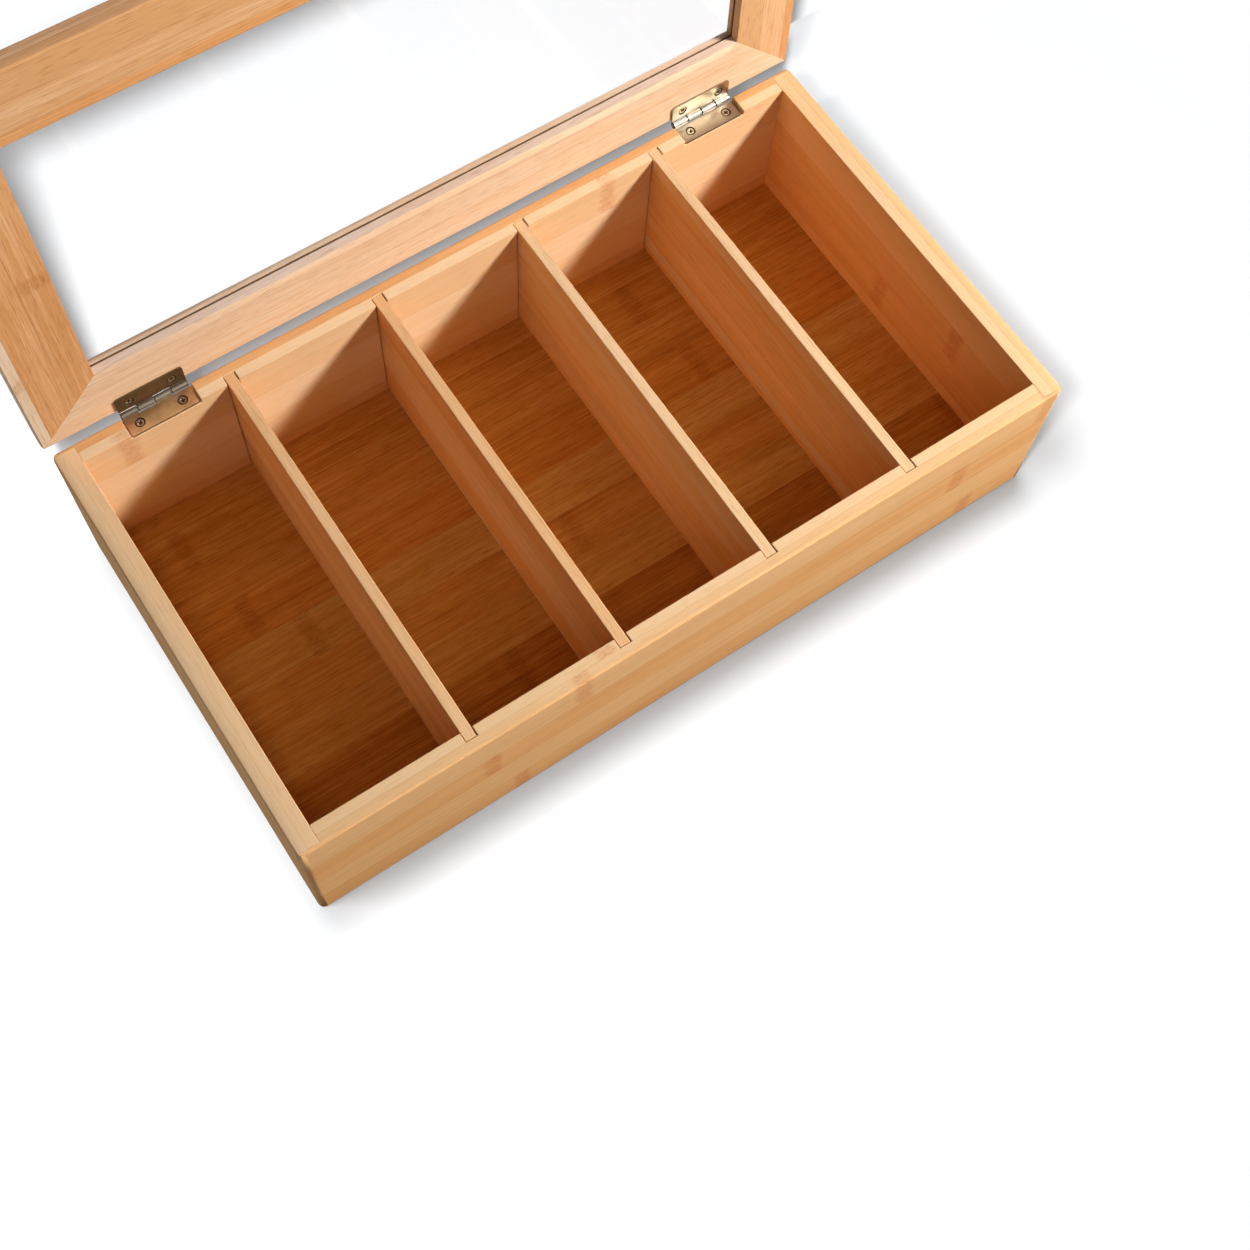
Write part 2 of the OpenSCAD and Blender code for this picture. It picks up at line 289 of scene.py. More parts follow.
def bamboo_group():
    """Bamboo laminate. Grain holds the place along, across and through the board, Cell the strip's own
    lightness, warmth and knot place, and Edge is 1 where the plies' sides show."""
    tree, given, made = new_group(
        "bamboo",
        [
            ("Grain", "Vector", None),
            ("Cell", "Vector", None),
            ("Edge", "Float", 0.0),
            ("Light", "Color", (0.8, 0.6, 0.4, 1)),
            ("Middle", "Color", (0.7, 0.5, 0.3, 1)),
            ("Dark", "Color", (0.5, 0.3, 0.1, 1)),
            ("Knot", "Color", (0.8, 0.6, 0.5, 1)),
            ("Edge tint", "Color", (1, 1, 1, 1)),
            ("Strip contrast", "Float", 0.3),
            ("Streaks", "Float", 1.0),
            ("Fibres", "Float", 0.6),
            ("Flecks", "Float", 0.3),
            ("Strip width", "Float", 0.02),
            ("Ply", "Float", 0.0045),
        ],
        [("Color", "Color"), ("Gloss", "Float"), ("Height", "Float")],
    )
    along, across, through = node(tree, "SeparateXYZ", given["Grain"]).node.outputs
    lightness, warmth, knot_place = node(tree, "SeparateXYZ", given["Cell"]).node.outputs

    # Each strip was cut from its own cane, so its figure starts elsewhere
    shift = total(tree, maths(tree, "MULTIPLY", lightness, 3.1), maths(tree, "MULTIPLY", warmth, 1.7))
    own_along = maths(tree, "ADD", along, shift)
    half_pitch = KNOT_PITCH / 2
    from_knot = maths(tree, "WRAP", maths(tree, "SUBTRACT", along, knot_place), half_pitch, -half_pitch)
    waver = noise(tree, stretched(tree, (own_along, across, through), KNOT_WAVER_SCALE), 2)
    from_knot = maths(tree, "ADD", from_knot, around_zero(tree, waver, KNOT_WAVER))
    near_knot = maths(tree, "ABSOLUTE", from_knot)
    has_knot = maths(tree, "LESS_THAN", knot_place, NO_KNOT)
    band = ramp_up(tree, near_knot, KNOT_HALF + KNOT_SOFT, KNOT_HALF - KNOT_SOFT)
    knot = maths(tree, "MULTIPLY", band, has_knot)
    bulge = maths(tree, "MULTIPLY", ramp_up(tree, near_knot, SWERVE_REACH, 0.0), has_knot)

    # Fibres swerve a little at a knot and wander along the strip
    wander = noise(tree, stretched(tree, (own_along, across, through), WANDER_SCALE), 1)
    swerve = maths(tree, "MULTIPLY", maths(tree, "ADD", bulge, 0.5), around_zero(tree, wander, SWERVE))
    bent = maths(tree, "ADD", across, swerve)
    place = (own_along, bent, through)
    cloud = noise(tree, stretched(tree, place, CLOUD_SCALE), 2)
    broad = noise(tree, stretched(tree, place, BROAD_SCALE), 3)
    fine = noise(tree, stretched(tree, place, FINE_SCALE), 2, 0.6)
    dashes = noise(tree, stretched(tree, place, DASH_SCALE), 1)

    figure = total(
        tree,
        around_zero(tree, cloud, 0.6),
        around_zero(tree, broad, 0.75),
        maths(tree, "MULTIPLY", around_zero(tree, fine, 1.0), given["Fibres"]),
    )
    level = total(
        tree,
        0.5,
        maths(tree, "MULTIPLY", lightness, given["Strip contrast"]),
        maths(tree, "MULTIPLY", figure, given["Streaks"]),
    )
    twice = maths(tree, "MULTIPLY", level, 2.0)
    lower = node(tree, "Clamp", twice)
    upper = node(tree, "Clamp", maths(tree, "SUBTRACT", twice, 1.0))
    colour = mix(tree, upper, mix(tree, lower, given["Dark"], given["Middle"]), given["Light"])
    leaning = maths(tree, "MULTIPLY", warmth, given["Strip contrast"])
    tint = mix(tree, maths(tree, "MULTIPLY_ADD", leaning, 2.2, 0.5), COOL, WARM)
    colour = mix(tree, 1.0, colour, tint, "MULTIPLY")
    # Where the plies' sides show, on rims and divider tops, Edge tint pales the colour: partly those sides'
    # own tone, partly painted light, since these tops face the key lamp while the more saturated flat faces
    # are mostly in shade
    colour = tinted(tree, given["Edge"], colour, given["Edge tint"])

    # A knot is a redder band of short dark pores
    pores = noise(tree, stretched(tree, place, PORE_SCALE), 2)
    pored = maths(tree, "MULTIPLY", knot, ramp_up(tree, pores, 0.46, 0.62))
    colour = tinted(tree, maths(tree, "MULTIPLY", knot, 0.35), colour, given["Knot"])
    colour = tinted(tree, maths(tree, "MULTIPLY", pored, 0.5), colour, given["Knot"])

    fleck = ramp_up(tree, dashes, 0.54, 0.7)
    colour = tinted(tree, maths(tree, "MULTIPLY", fleck, given["Flecks"]), colour, FLECK)

    # Glue lines: between the strips on a board's faces, and between the first two plies on its edges
    off_strip = maths(tree, "PINGPONG", across, maths(tree, "MULTIPLY", given["Strip width"], 0.5))
    near_line = ramp_up(tree, off_strip, LINE_END, LINE_CORE)
    off_rim = ramp_up(tree, across, RIM_CLEAR, RIM_PAST)
    strip_line = maths(tree, "MULTIPLY", near_line, off_rim)
    off_ply = maths(tree, "ABSOLUTE", maths(tree, "SUBTRACT", through, given["Ply"]))
    ply_line = ramp_up(tree, off_ply, LINE_END, LINE_CORE)
    turned = maths(tree, "GREATER_THAN", given["Edge"], 0.5)
    line = total(
        tree,
        maths(tree, "MULTIPLY", strip_line, maths(tree, "SUBTRACT", 1.0, turned)),
        maths(tree, "MULTIPLY", ply_line, turned),
    )
    cover = maths(tree, "MULTIPLY_ADD", turned, PLY_LINE_COVER - STRIP_LINE_COVER, STRIP_LINE_COVER)
    colour = tinted(tree, maths(tree, "MULTIPLY", line, cover), colour, GLUE_LINE)

    feed(tree, made["Color"], colour)
    feed(tree, made["Gloss"], total(tree, 0.5, around_zero(tree, fine, 0.5), around_zero(tree, cloud, 0.5)))
    relief = total(tree, around_zero(tree, fine, 0.6), around_zero(tree, broad, 0.3))
    sunk = total(tree, maths(tree, "MULTIPLY", fleck, 0.35), maths(tree, "MULTIPLY", line, 0.8))
    feed(tree, made["Height"], maths(tree, "SUBTRACT", relief, sunk))
    return tree


def bamboo(name, group, strip, ply, gloss=0.04, **look):
    """A satin-lacquered bamboo finish; look holds the group's other values."""
    material, tree, shader = new_material(name, Specular_IOR_Level=gloss)
    grain = node(tree, "Attribute", attribute_name="grain", out=1)
    cell = node(tree, "Attribute", attribute_name="cell", out=1)
    edge = node(tree, "Attribute", attribute_name="edge", out=2)
    made = place_group(tree, group, grain=grain, cell=cell, edge=edge, strip_width=strip, ply=ply, **look)
    feed(tree, shader.inputs["Base Color"], made["Color"])
    roughness = node(tree, "MapRange", made["Gloss"], 0.0, 1.0, LACQUER_DULL, LACQUER_GLOSSY)
    feed(tree, shader.inputs["Roughness"], roughness)
    add_bump(tree, shader, made["Height"], 0.35, GRAIN_RELIEF)
    return Finish(material, strip, ply, name)


# ---------------------------------------------------------------- boards

# Rounding of a board's free edges, and the hairline left at a joint
EASE = 0.4 * MM
SEAM_EASE = 0.1 * MM
# An edge nearer than this to another piece is a joint
TOUCH = 0.06 * MM
# Vertices nearer together than WELD are joined, and places nearer together than SNAP count as one
WELD = 0.002 * MM
SNAP = 0.001 * MM
# Edges sharper than this are rounded, and faces that meet at less than FLAT are one
CREASE = math.radians(60)
FLAT = math.radians(0.4)
# A last strip or ply that is thinner than this share of a whole one belongs to the one before
STRIP_SLIVER = 0.05
PLY_SLIVER = 0.2
# A face whose normal points through the board by less than this shows the plies' sides
PLIES_SHOW = 0.7
# The material index of knuckle ends and countersinks, small faces painted dark as shade that keep their crisp
# edges
PAINTED_SHADE_FLAT = 2
AXES = {"x": Vector((1, 0, 0)), "y": Vector((0, 1, 0)), "z": Vector((0, 0, 1))}
# The box's own pieces already are where they are with the lid closed
UNTURNED = Matrix()


def signed_axis(name):
    """The unit vector of an axis name such as x or -z."""
    return -AXES[name[1]] if name[0] == "-" else AXES[name]


def corners_of(name, laid_flat):
    """A CAD node's vertices, where they are with the lid closed."""
    return [laid_flat @ v.co for v in NODES[name].data.vertices]


def limits(points):
    """The lowest and the highest corner of the box round some points."""
    return tuple(Vector(pick(point[i] for point in points) for i in range(3)) for pick in (min, max))


def cut(bm, laid_flat, direction, distance):
    """Cuts a mesh by the plane that, with the lid closed, lies across a direction at a distance."""
    upright = laid_flat.inverted()
    bmesh.ops.bisect_plane(
        bm,
        geom=bm.verts[:] + bm.edges[:] + bm.faces[:],
        plane_co=upright @ (direction * distance),
        plane_no=upright.to_3x3() @ direction,
        dist=SNAP,
    )


def surface_tree(name):
    """A search tree over one CAD node's surface."""
    mesh = NODES[name].data
    return BVHTree.FromPolygons([v.co for v in mesh.vertices], [p.vertices[:] for p in mesh.polygons])


SURFACES = {name: surface_tree(name) for name in NODES}


def clean_copy(name):
    """A CAD node's solid as a bmesh, with its split vertices joined and its flat faces whole."""
    bm = bmesh.new()
    bm.from_mesh(NODES[name].data)
    bmesh.ops.remove_doubles(bm, verts=bm.verts, dist=WELD)
    bmesh.ops.dissolve_limit(bm, angle_limit=FLAT, verts=bm.verts, edges=bm.edges)
    return bm


def is_touched(edge, name, reach):
    """Whether a piece other than the named one meets the edge at its middle."""
    middle = (edge.verts[0].co + edge.verts[1].co) / 2
    others = [tree for other, tree in SURFACES.items() if other != name]
    return any(tree.find_nearest(middle, reach)[0] is not None for tree in others)


def ease_edges(bm, name, width, segments):
    """Leaves a hairline at the joints and rounds the free edges. The second look reaches further, because
    the hairline has moved the joints' edges back."""
    for offset, steps, wanted, reach in (
        (SEAM_EASE, 1, True, TOUCH),
        (width, segments, False, TOUCH + 1.5 * SEAM_EASE),
    ):
        sharp = [e for e in bm.edges if len(e.link_faces) == 2 and e.calc_face_angle() > CREASE]
        chosen = [e for e in sharp if is_touched(e, name, reach) == wanted]
        bmesh.ops.bevel(bm, geom=chosen, offset=offset, segments=steps, profile=0.5, affect="EDGES")


def keep_inside(bm, name, laid_flat):
    """Draws in what the rounding pushed out of the CAD solid's box."""
    low, high = limits(corners_of(name, laid_flat))
    for v in bm.verts:
        flat = laid_flat @ v.co
        v.co = laid_flat.inverted() @ Vector(min(max(flat[i], low[i]), high[i]) for i in range(3))


def finish_piece(name, bm, materials, nodes):
    """Turns a bmesh into a piece that stands for CAD nodes and rides where they ride."""
    mesh = bpy.data.meshes.new(name)
    bm.to_mesh(mesh)
    bm.free()
    mesh.polygons.foreach_set("use_smooth", [p.material_index != PAINTED_SHADE_FLAT for p in mesh.polygons])
    for material in materials:
        mesh.materials.append(material)
    piece = bpy.data.objects.new(name, mesh)
    bpy.context.scene.collection.objects.link(piece)
    piece.modifiers.new("even_faces", "WEIGHTED_NORMAL").keep_sharp = True
    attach(piece, body_of(NODES[nodes[0]])[0])
    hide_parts(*nodes)


def laminate(bm, finish, axes, first_strip, seed, laid_flat, board, tones, knots):
    """Cuts a board's mesh at its strips and plies, and gives each cell its own look."""
    along, across, through = (signed_axis(axis) for axis in axes)
    corners = [laid_flat @ v.co for v in bm.verts]
    lowest_across = min(c.dot(across) for c in corners) + first_strip - finish.strip
    lowest_through = min(c.dot(through) for c in corners)

    def place_of(point):
        flat = laid_flat @ point
        return Vector((flat.dot(along), flat.dot(across) - lowest_across, flat.dot(through) - lowest_through))

    strips = math.ceil((max(place_of(v.co).y for v in bm.verts)) / finish.strip - STRIP_SLIVER)
    plies = math.ceil((max(place_of(v.co).z for v in bm.verts)) / finish.ply - PLY_SLIVER)
    for i in range(1, strips):
        cut(bm, laid_flat, across, lowest_across + finish.strip * i)
    for i in range(1, plies):
        cut(bm, laid_flat, through, lowest_through + finish.ply * i)
    draw = random.Random(seed)
    cells = {}
    for cell in itertools.product(range(strips), range(plies)):
        own = (draw.uniform(-1, 1), draw.uniform(-1, 1))
        lightness, warmth = tones.get(cell, own)
        cells[cell] = (lightness + board[0], warmth + board[1], knots.get(cell, 2 * NO_KNOT))
    grain = bm.verts.layers.float_vector.new("grain")
    look = bm.faces.layers.float_vector.new("cell")
    edge = bm.faces.layers.float.new("edge")
    for v in bm.verts:
        v[grain] = place_of(v.co)
    for f in bm.faces:
        place = place_of(f.calc_center_median())
        strip = min(max(int(place.y / finish.strip), 0), strips - 1)
        ply = min(max(int(place.z / finish.ply), 0), plies - 1)
        f[look] = cells[strip, ply]
        f[edge] = float(abs((laid_flat.to_3x3() @ f.normal).dot(through)) < PLIES_SHOW)


def make_board(
    name, finish, axes, seed, laid_flat=UNTURNED, first_strip=None, board=(0, 0), tones=None, knots=None
):
    """One board's piece. Axes say how its grain, its strips and its plies run with the lid closed. Board is
    the whole board's lightness and warmth, tones hold those of single strips and knots the place of their
    knots, both by strip and ply."""
    bm = clean_copy(name)
    ease_edges(bm, name, EASE, 3)
    keep_inside(bm, name, laid_flat)
    first_strip = first_strip or finish.strip
    laminate(bm, finish, axes, first_strip, seed, laid_flat, board, tones or {}, knots or {})
    finish_piece(name + "_board", bm, [finish.material], [name])


def lid_laid_flat():
    """The turn that takes the opened lid to where it is when closed."""
    hinge = frame["joints"][0]
    point = Vector(hinge["pos_m"])
    turn = Matrix.Rotation(math.radians(hinge["range_deg"][1]), 4, Vector(hinge["axis"]))
    return Matrix.Translation(point) @ turn @ Matrix.Translation(-point)


def make_walls(finish):
    """The four walls. Their first strip is at the rim, and ply 0 is the outer one."""
    make_board(
        "front_wall", finish, ("x", "-z", "y"), 11, board=(-0.4, 0.2),
        tones={
            (0, 0): (0.2, -0.2), (1, 0): (-0.2, 0.5), (2, 0): (0.2, 0.1), (3, 0): (-0.2, 0.5),
            (0, 1): (1.0, -0.3),
        },
        knots={(0, 0): -0.056, (1, 0): 0.132, (3, 0): 0.145, (0, 1): -0.043},
    )
    make_board(
        "rear_wall", finish, ("x", "-z", "-y"), 12,
        tones={
            (0, 0): (-1.3, 0.5),
            (0, 1): (0.6, -0.8), (1, 1): (1.3, -1.0), (2, 1): (1.1, -0.7), (3, 1): (0.4, -0.3),
        },
        knots={(0, 1): -0.152, (1, 0): 0.040, (2, 0): -0.090},
    )
    # The left wall's strips are set lighter than the other walls': partly their own tone, partly painted
    # light on its outer face, which lies in shade
    make_board(
        "left_wall", finish, ("y", "-z", "x"), 13, board=(0.1, 0.0),
        tones={
            (0, 0): (0.8, -0.2), (1, 0): (0.5, 0.1), (2, 0): (0.8, 0.2), (3, 0): (0.3, 0.2),
            (0, 1): (0.9, 0.2),
        },
        knots={(2, 0): 0.020},
    )
    make_board(
        "right_wall", finish, ("y", "-z", "-x"), 14,
        tones={
            (0, 0): (-0.1, 0.4),
            (0, 1): (0.3, -0.2), (1, 1): (-0.9, 0.2), (2, 1): (-0.7, 0.5), (3, 1): (0.2, 0.4),
        },
        knots={(1, 1): -0.045, (2, 1): 0.003, (1, 0): -0.030},
    )


def make_inside(floor, dividers):
    """The floor panel and the dividers."""
    make_board(
        "base_panel", floor, ("x", "-y", "z"), 15, first_strip=15.4 * MM,
        tones={
            (0, 0): (0.2, 0.2), (1, 0): (-0.3, 0.1), (2, 0): (-0.3, 0.3),
            (3, 0): (-0.2, 0.9), (4, 0): (0.5, -0.6), (5, 0): (0.1, 0.2),
            # Strips 7 and 8 lie along the front wall: their lower lightness is painted shade of that wall
            (6, 0): (0.4, -0.4), (7, 0): (-1.0, 0.2), (8, 0): (-1.5, 0.3),
        },
        knots={(1, 0): 0.079, (3, 0): -0.143, (4, 0): -0.125, (5, 0): -0.006, (7, 0): -0.060},
    )
    top_tones = {1: (-0.3, 0.4), 2: (-0.3, 0.7), 3: (0.8, -0.1), 4: (0.3, -0.3)}
    for number, tone in top_tones.items():
        make_board(f"divider_{number}", dividers, ("y", "-z", "x"), 20 + number, tones={(0, 0): tone})


def make_lid(finish):
    """The lid's frame. Ply 0 is its underside, which shows while the lid is open."""
    flat = lid_laid_flat()
    make_board("lid_front_rail", finish, ("x", "y", "z"), 31, flat, board=(-0.6, 0.8), knots={(1, 1): 0.07})
    make_board(
        "lid_rear_rail", finish, ("x", "-y", "z"), 32, flat, board=(0.4, -0.2),
        tones={(0, 0): (0.1, 0.2), (1, 0): (-0.2, 0.0), (2, 0): (0.2, 0.1)}, knots={(0, 1): -0.02},
    )
    make_board(
        "lid_left_stile", finish, ("y", "x", "z"), 33, flat, 5 * MM, board=(-1.5, 0.35),
        tones={(0, 0): (1.8, -0.9)}, knots={(0, 0): 0.052, (2, 0): 0.001},
    )
    make_board("lid_right_stile", finish, ("y", "-x", "z"), 34, flat, 5 * MM, board=(-1.8, 0.4))


# ---------------------------------------------------------------- hinges, screws and pane

# Rounding of a leaf's free edges
METAL_EASE = 0.12 * MM
# How far the dark rounding of a knuckle's end reaches along it
KNUCKLE_EASE = 0.22 * MM
# The barrel's surface lies between these distances from its axis
BARREL_CORE = 1.2 * MM
BARREL_REACH = 1.6 * MM
# A knuckle's end is where its normal points along the barrel by more than this
END_SLOPE = 0.3
# A countersink is where the upright part of a leaf's normal lies between these
SLOPE_LEAST = 0.2
SLOPE_MOST = 0.95
# How deep in the frame's groove the pane's painted shade starts
GROOVE_SHADE_DEPTH = 0.5 * MM
# How deep the screws sit below their leaf's face, and how much narrower their countersink is there
SCREW_SINK = 0.25 * MM
HEAD_INSET = 1.7 * SCREW_SINK
SCREW_SIDES = 32
# Shares of a screw head's radius: the drop of its rounded rim, the cross's span and the cross's depth
RIM_DROP = 0.06
CROSS_SPAN = 1.2
CROSS_DEPTH = 0.4
# Shares of the cross's span: the width of its arms at the mouth and at the bottom, and its span there
ARM_WIDTH = 0.32
BOTTOM_ARM_WIDTH = 0.2
RECESS_TAPER = 0.45
# The shank's radius as a share of the solid's head radius, and the tip's as a share of the shank's
SHANK = 0.45
TIP = 0.1

# Scales of the metal's noises per metre: along X, Y and Z
DRIFT_SCALE = (70, 90, 90)
BLUSH_SCALE = (55, 120, 120)
GRIME_SCALE = (420, 600, 600)
SCRATCH_SCALE = (260, 4200, 4200)
UNEVEN_SCALE = (900, 900, 900)
# Tints of the grime on the plating, and of the paler spots in the painted shade
GRIME_TINT = (0.5, 0.44, 0.36, 1)
PALER_TINT = (1.8, 1.7, 1.6, 1)
PLATING_RELIEF = 0.04 * MM


def plating_group():
    """Yellow-passivated steel: drifting olive and rose stains, and fine scratches along the leaf."""
    tree, given, made = new_group(
        "plating",
        [
            ("Gold", "Color", (0.8, 0.7, 0.5, 1)),
            ("Olive", "Color", (0.5, 0.5, 0.3, 1)),
            ("Rose", "Color", (0.8, 0.6, 0.5, 1)),
            ("Roughness", "Float", 0.3),
        ],
        [("Color", "Color"), ("Roughness", "Float"), ("Height", "Float")],
    )
    place = place_on_piece(tree)
    drift = noise(tree, stretched(tree, place, DRIFT_SCALE), 2, 0.45)
    blush = noise(tree, stretched(tree, place, BLUSH_SCALE), 1)
    grime = noise(tree, stretched(tree, place, GRIME_SCALE), 3, 0.6)
    scratches = noise(tree, stretched(tree, place, SCRATCH_SCALE), 2)
    olive_cover = maths(tree, "MULTIPLY", ramp_up(tree, drift, 0.4, 0.75), 0.75)
    rose_cover = maths(tree, "MULTIPLY", ramp_up(tree, blush, 0.45, 0.7), 0.6)
    colour = mix(tree, rose_cover, mix(tree, olive_cover, given["Gold"], given["Olive"]), given["Rose"])
    grime_cover = maths(tree, "MULTIPLY", ramp_up(tree, grime, 0.45, 0.8), 0.35)
    feed(tree, made["Color"], tinted(tree, grime_cover, colour, GRIME_TINT))
    roughness = total(
        tree, given["Roughness"], around_zero(tree, grime, 0.16), around_zero(tree, scratches, 0.12)
    )
    feed(tree, made["Roughness"], roughness)
    feed(tree, made["Height"], total(tree, scratches, maths(tree, "MULTIPLY", grime, 0.6)))
    return tree


def plated(name, group, gold, olive, rose, roughness):
    """A plated steel finish."""
    material, tree, shader = new_material(name, Metallic=1.0)
    made = place_group(tree, group, gold=gold, olive=olive, rose=rose, roughness=roughness)
    feed(tree, shader.inputs["Base Color"], made["Color"])
    feed(tree, shader.inputs["Roughness"], made["Roughness"])
    add_bump(tree, shader, made["Height"], 0.2, PLATING_RELIEF)
    return material


def dark_finish(name, colour, roughness):
    """A matt dark finish with a little unevenness, for painted shade in recesses, gaps and the pane's groove.
    """
    material, tree, shader = new_material(name, Roughness=roughness, Specular_IOR_Level=0.2)
    uneven = noise(tree, stretched(tree, place_on_piece(tree), UNEVEN_SCALE), 2)
    feed(tree, shader.inputs["Base Color"], tinted(tree, uneven, colour, PALER_TINT))
    return material


def clear_pane():
    """Clear sheet that lets light and shadow rays through."""
    material, tree, shader = new_material(
        "pane_clear", Base_Color=(1, 1, 1, 1), Roughness=0.0, IOR=1.3, Transmission_Weight=1.0
    )
    path = tree.nodes.new("ShaderNodeLightPath").outputs
    through = maths(tree, "MAXIMUM", path["Is Shadow Ray"], path["Is Diffuse Ray"])
    clear = node(tree, "BsdfTransparent", (1, 1, 1, 1))
    output = tree.nodes["Material Output"].inputs[0]
    tree.links.new(node(tree, "MixShader", through, shader.outputs[0], clear), output)
    return material


def round_knuckle_ends(bm, from_hinge_axis):
    """Rounds the outer edges of the knuckles' ends."""
    ends = []
    for e in bm.edges:
        middle = from_hinge_axis((e.verts[0].co + e.verts[1].co) / 2)
        across = abs(e.verts[0].co.x - e.verts[1].co.x) < SNAP
        if across and BARREL_CORE < middle.length < BARREL_REACH and e.calc_face_angle(0.0) > CREASE:
            ends.append(e)
    bmesh.ops.bevel(bm, geom=ends, offset=KNUCKLE_EASE, segments=1, profile=0.5, affect="EDGES")
    bmesh.ops.remove_doubles(bm, verts=bm.verts, dist=WELD)


def make_leaf(name, materials, laid_flat):
    """A hinge leaf: its plate, its steel knuckles, and knuckle ends and countersinks painted dark as shade.
    """
    axis = Vector(frame["joints"][0]["pos_m"])

    def from_hinge_axis(point):
        away = laid_flat @ point - axis
        away.x = 0
        return away

    bm = clean_copy(name)
    round_knuckle_ends(bm, from_hinge_axis)
    ease_edges(bm, name, METAL_EASE, 2)
    for f in bm.faces:
        from_axis = from_hinge_axis(f.calc_center_median())
        normal = laid_flat.to_3x3() @ f.normal
        if from_axis.length > BARREL_REACH:
            countersink = from_axis.length > 2 * BARREL_REACH and SLOPE_LEAST < abs(normal.z) < SLOPE_MOST
            f.material_index = PAINTED_SHADE_FLAT if countersink else 0
        elif abs(normal.x) > END_SLOPE:
            f.material_index = PAINTED_SHADE_FLAT
        else:
            f.material_index = 1
    finish_piece(name + "_plate", bm, materials, [name])


def make_pane(clear, painted_groove_shade):
    """The clear sheet, with painted shade where it sits in the frame's groove."""
    flat = lid_laid_flat()
    front = limits(corners_of("lid_front_rail", flat))
    rear = limits(corners_of("lid_rear_rail", flat))
    opening = {
        "x": (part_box("lid_left_stile")[1].x - GROOVE_SHADE_DEPTH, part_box("lid_right_stile")[0].x + GROOVE_SHADE_DEPTH),
        "y": (front[1].y - GROOVE_SHADE_DEPTH, rear[0].y + GROOVE_SHADE_DEPTH),
    }
    bm = clean_copy("lid_pane")
    for axis, places in opening.items():
        for place in places:
            cut(bm, flat, AXES[axis], place)
    for f in bm.faces:
        middle = flat @ f.calc_center_median()
        inside = all(low < middle.dot(AXES[axis]) < high for axis, (low, high) in opening.items())
        f.material_index = 0 if inside else 1
    finish_piece("lid_pane_sheet", bm, [clear, painted_groove_shade], ["lid_pane"])


def ring(bm, radius, height):
    """A circle of vertices."""
    angles = [2 * math.pi * i / SCREW_SIDES for i in range(SCREW_SIDES)]
    return [bm.verts.new((radius * math.cos(a), radius * math.sin(a), height)) for a in angles]


def bridge(bm, upper, lower):
    """The band of faces between two loops of as many vertices."""
    for i in range(len(upper)):
        j = (i + 1) % len(upper)
        bm.faces.new((upper[i], lower[i], lower[j], upper[j]))


def cross_loop(bm, length, width, height, turn):
    """The outline of a cross, anticlockwise, as vertices."""
    a, b = length / 2, width / 2
    arm = [(a, -b), (a, b), (b, b)]
    points = []
    for quarter in range(4):
        angle = turn + quarter * math.pi / 2
        cos, sin = math.cos(angle), math.sin(angle)
        points += [(x * cos - y * sin, x * sin + y * cos) for x, y in arm]
    return [bm.verts.new((x, y, height)) for x, y in points]


def add_screw(bm, place, head_radius, shank_radius, length, turn):
    """One countersunk cross-head screw that points down its own Z axis. Its rim, cone and recess are painted
    dark as shade.
    """
    screw = bmesh.new()
    rim_drop = RIM_DROP * head_radius
    neck_height = shank_radius - head_radius - rim_drop
    top = ring(screw, head_radius - 2 * rim_drop, 0)
    rim = ring(screw, head_radius, -rim_drop)
    neck = ring(screw, shank_radius, neck_height)
    foot = ring(screw, shank_radius, 2 * shank_radius - length)
    tip = ring(screw, TIP * shank_radius, -length)
    for upper, lower in itertools.pairwise((top, rim, neck, foot, tip)):
        bridge(screw, upper, lower)
    screw.faces.new(tip)
    span = CROSS_SPAN * head_radius
    mouth = cross_loop(screw, span, ARM_WIDTH * span, 0, turn)
    bottom = cross_loop(screw, RECESS_TAPER * span, BOTTOM_ARM_WIDTH * span, -CROSS_DEPTH * head_radius, turn)
    bridge(screw, mouth, bottom)
    screw.faces.new(bottom)
    for f in screw.faces:
        f.material_index = 1
    edges = []
    for loop in (top, mouth):
        for i in range(len(loop)):
            edges.append(screw.edges.get((loop[i - 1], loop[i])))
    bmesh.ops.triangle_fill(screw, edges=edges, use_beauty=True)
    bmesh.ops.recalc_face_normals(screw, faces=screw.faces)
    bmesh.ops.transform(screw, matrix=place, verts=screw.verts)
    mesh = bpy.data.meshes.new("one_screw")
    screw.to_mesh(mesh)
    screw.free()
    bm.from_mesh(mesh)
    bpy.data.meshes.remove(mesh)


def make_screws(name, leaves, materials, laid_flat, heads_up):
    """The four screws of one group, sunk a little in their leaves' countersinks."""
    low, high = limits(corners_of(name, laid_flat))
    cad_head = (high.y - low.y) / 2
    face = high.z if heads_up else low.z
    inward = -1 if heads_up else 1
    middles = [(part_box(leaf)[0].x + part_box(leaf)[1].x) / 2 for leaf in leaves]
    half_spacing = middles[0] - low.x - cad_head
    draw = random.Random(name)
    bm = bmesh.new()
    for middle in middles:
        for side in (-1, 1):
            x = middle + side * half_spacing
            place = Matrix.Translation((x, (low.y + high.y) / 2, face + inward * SCREW_SINK))
            if not heads_up:
                place = place @ Matrix.Rotation(math.pi, 4, "X")
            place = laid_flat.inverted() @ place
            turn = draw.uniform(0, math.pi / 2)
            length = high.z - low.z - SCREW_SINK
            add_screw(bm, place, cad_head - HEAD_INSET, SHANK * cad_head, length, turn)
    finish_piece(name + "_heads", bm, materials, [name])


